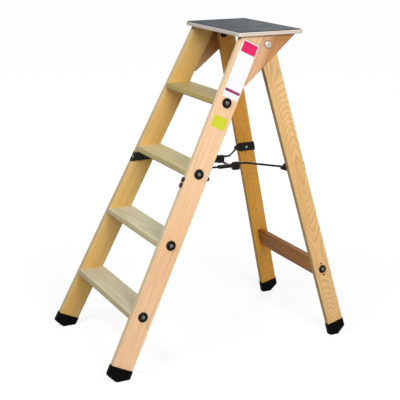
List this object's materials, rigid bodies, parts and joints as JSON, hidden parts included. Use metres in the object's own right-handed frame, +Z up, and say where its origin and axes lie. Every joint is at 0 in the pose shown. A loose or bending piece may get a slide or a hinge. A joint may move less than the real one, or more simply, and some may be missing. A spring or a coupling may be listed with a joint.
{
  "type": "stepladder",
  "caption": "Free-standing wooden stepladder with bolted treads, a matted platform, a hinged rear frame with a rail, rubber boots and a folding steel spreader.",
  "frame": {"origin": "on the floor under the middle of the whole open stepladder", "axes": "+X across to the right seen from the front, -Y to the front (the side that is climbed), +Z up"},
  "size_m": [0.581, 0.9768, 1.156],
  "materials": {
    "stile_wood": "clear varnish",
    "tread_wood": "planed, clear varnish",
    "platform_wood": "planed, clear varnish",
    "leg_wood": "clear varnish",
    "rail_wood": "clear varnish",
    "dowel_wood": "bare",
    "mat_rubber": "matt",
    "boot_rubber": "matt",
    "black_plastic": "moulded",
    "black_steel": "black coated",
    "rod_steel": "dark coated",
    "plated_steel": "zinc plated"
  },
  "bodies": {
    "front_frame": {"stile_left": "stile_wood", "stile_right": "stile_wood", "tread_1": "tread_wood", "tread_2": "tread_wood", "tread_3": "tread_wood", "tread_4": "tread_wood", "tread_bolts": "plated_steel", "tread_cups": "black_plastic", "tread_barrel_nuts": "plated_steel", "platform_board": "platform_wood", "platform_mat": "mat_rubber", "platform_screws": "plated_steel", "gusset_left": "stile_wood", "gusset_right": "stile_wood", "gusset_dowels": "dowel_wood", "foot_front_left": "boot_rubber", "foot_front_right": "boot_rubber", "front_bracket_left": "black_steel", "front_bracket_right": "black_steel", "front_bracket_screws": "plated_steel", "pivot_bolts": "plated_steel", "pivot_spacers": "black_plastic", "pivot_washers": "plated_steel", "pivot_nuts": "plated_steel"},
    "rear_frame": {"rear_leg_left": "leg_wood", "rear_leg_right": "leg_wood", "rear_rail": "rail_wood", "rear_rail_bolts": "plated_steel", "rear_rail_cups": "black_plastic", "rear_rail_barrel_nuts": "plated_steel", "rear_rail_dowels": "dowel_wood", "foot_rear_left": "boot_rubber", "foot_rear_right": "boot_rubber", "rear_bracket_left": "black_steel", "rear_bracket_right": "black_steel", "rear_bracket_screws": "plated_steel"},
    "front_spreader": {"front_bail": "rod_steel"},
    "rear_spreader": {"rear_arm_left": "rod_steel", "rear_arm_right": "rod_steel", "hinge_block_left": "black_plastic", "hinge_block_right": "black_plastic"}
  },
  "joints": [
    {"name": "rear_frame_fold", "type": "hinge", "parent": "front_frame", "child": "rear_frame", "pos_m": [0, 0.16912, 1.107], "axis": [-1, 0, 0], "range_deg": [0, 36.5]},
    {"name": "front_spreader_swing", "type": "hinge", "parent": "front_frame", "child": "front_spreader", "pos_m": [0, -0.07176, 0.657], "axis": [1, 0, 0], "range_deg": [0, 65.21]},
    {"name": "rear_spreader_swing", "type": "hinge", "parent": "rear_frame", "child": "rear_spreader", "pos_m": [0, 0.24823, 0.657], "axis": [-1, 0, 0], "range_deg": [0, 83.61]}
  ],
  "couplings": [
    {"joint": "front_spreader_swing", "follows": "rear_frame_fold", "ratio": 1.7839},
    {"joint": "rear_spreader_swing", "follows": "rear_frame_fold", "ratio": 2.288}
  ]
}
